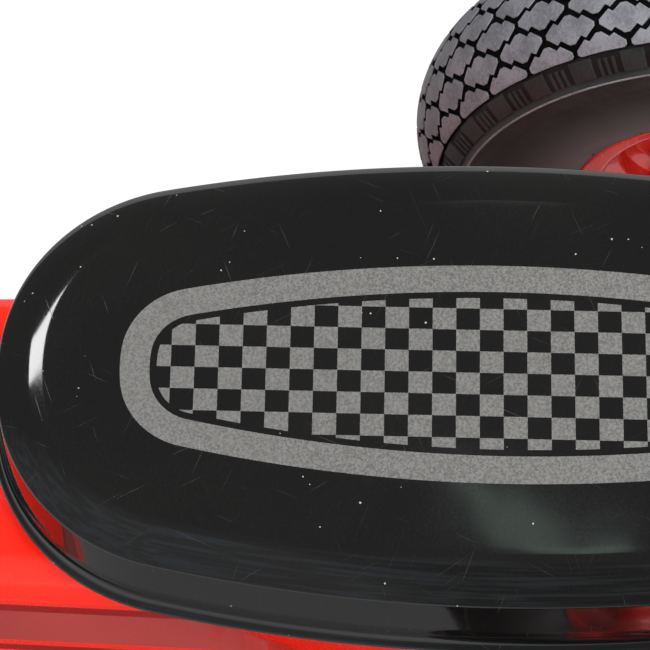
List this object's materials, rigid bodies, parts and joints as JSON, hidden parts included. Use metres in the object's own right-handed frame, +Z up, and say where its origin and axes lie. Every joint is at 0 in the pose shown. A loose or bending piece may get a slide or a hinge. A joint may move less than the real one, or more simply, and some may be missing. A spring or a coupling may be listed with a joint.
{
  "type": "kart front end",
  "caption": "Kart front end: red nose hull under a glossy black oval cover, a beam with a rear bolting flange, and two steered pneumatic wheels joined by a track rod.",
  "frame": {"origin": "centre of the rear flange's bolt pattern, on the flange's rear face, at the height of the wheel hubs", "axes": "+Z up, +Y to the rear out of the flange, -Y ahead to the nose, +X to the kart's left"},
  "size_m": [0.4956, 0.6167, 0.307],
  "materials": {
    "cover_black": "glossy black moulding, lightly scratched, with a grey grainy printed graphic",
    "hull_red": "glossy red moulding with a paler satin band",
    "black_moulding": "fine-grained black plastic",
    "frame_black": "semi-gloss black powder coat over steel",
    "zinc_steel": "bright zinc-plated steel",
    "tyre": "black tyre rubber, lighter dusty tread blocks",
    "rim_red": "glossy red painted pressed steel",
    "bearing_steel": "ground steel rings and a black seal",
    "valve_rubber": "black rubber valve"
  },
  "bodies": {
    "front_frame": {"rear_flange": "frame_black", "main_beam": "frame_black", "beam_cap": "black_moulding", "axle_beam": "frame_black", "bracket_front": "zinc_steel", "bracket_rear": "zinc_steel", "nose_hull": "hull_red", "nose_cover": "cover_black", "yoke_left": "frame_black", "king_pin_left": "zinc_steel", "king_nut_left": "zinc_steel", "yoke_right": "frame_black", "king_pin_right": "zinc_steel", "king_nut_right": "zinc_steel"},
    "knuckle_left": {"knuckle_left": "frame_black", "rod_pin_left": "zinc_steel", "rod_nut_left": "zinc_steel", "wheel_washer_left": "zinc_steel", "wheel_nut_left": "zinc_steel"},
    "wheel_left": {"tyre_left": "tyre", "rim_outer_left": "rim_red", "rim_inner_left": "rim_red", "hub_left": "rim_red", "bearing_outer_left": "bearing_steel", "bearing_inner_left": "bearing_steel", "valve_left": "valve_rubber"},
    "knuckle_right": {"knuckle_right": "frame_black", "rod_pin_right": "zinc_steel", "rod_nut_right": "zinc_steel", "wheel_washer_right": "zinc_steel", "wheel_nut_right": "zinc_steel"},
    "wheel_right": {"tyre_right": "tyre", "rim_outer_right": "rim_red", "rim_inner_right": "rim_red", "hub_right": "rim_red", "bearing_outer_right": "bearing_steel", "bearing_inner_right": "bearing_steel", "valve_right": "valve_rubber"},
    "track_rod": {"rod_tube": "zinc_steel", "rod_end_left": "zinc_steel", "rod_end_right": "zinc_steel"}
  },
  "joints": [
    {"name": "steer_left", "type": "hinge", "parent": "front_frame", "child": "knuckle_left", "pos_m": [0.138, -0.26, 0], "axis": [0, 0, 1], "range_deg": [-25, 25]},
    {"name": "steer_right", "type": "hinge", "parent": "front_frame", "child": "knuckle_right", "pos_m": [-0.138, -0.26, 0], "axis": [0, 0, 1], "range_deg": [-25, 25]},
    {"name": "track_rod_pivot", "type": "hinge", "parent": "knuckle_left", "child": "track_rod", "pos_m": [0.138, -0.322, -0.0153], "axis": [0, 0, 1], "range_deg": [-25, 25]},
    {"name": "wheel_spin_left", "type": "hinge", "parent": "knuckle_left", "child": "wheel_left", "pos_m": [0.205, -0.26, 0], "axis": [1, 0, 0], "continuous": true},
    {"name": "wheel_spin_right", "type": "hinge", "parent": "knuckle_right", "child": "wheel_right", "pos_m": [-0.205, -0.26, 0], "axis": [1, 0, 0], "continuous": true}
  ],
  "couplings": [
    {"joint": "steer_right", "follows": "steer_left", "ratio": 1},
    {"joint": "track_rod_pivot", "follows": "steer_left", "ratio": -1}
  ]
}
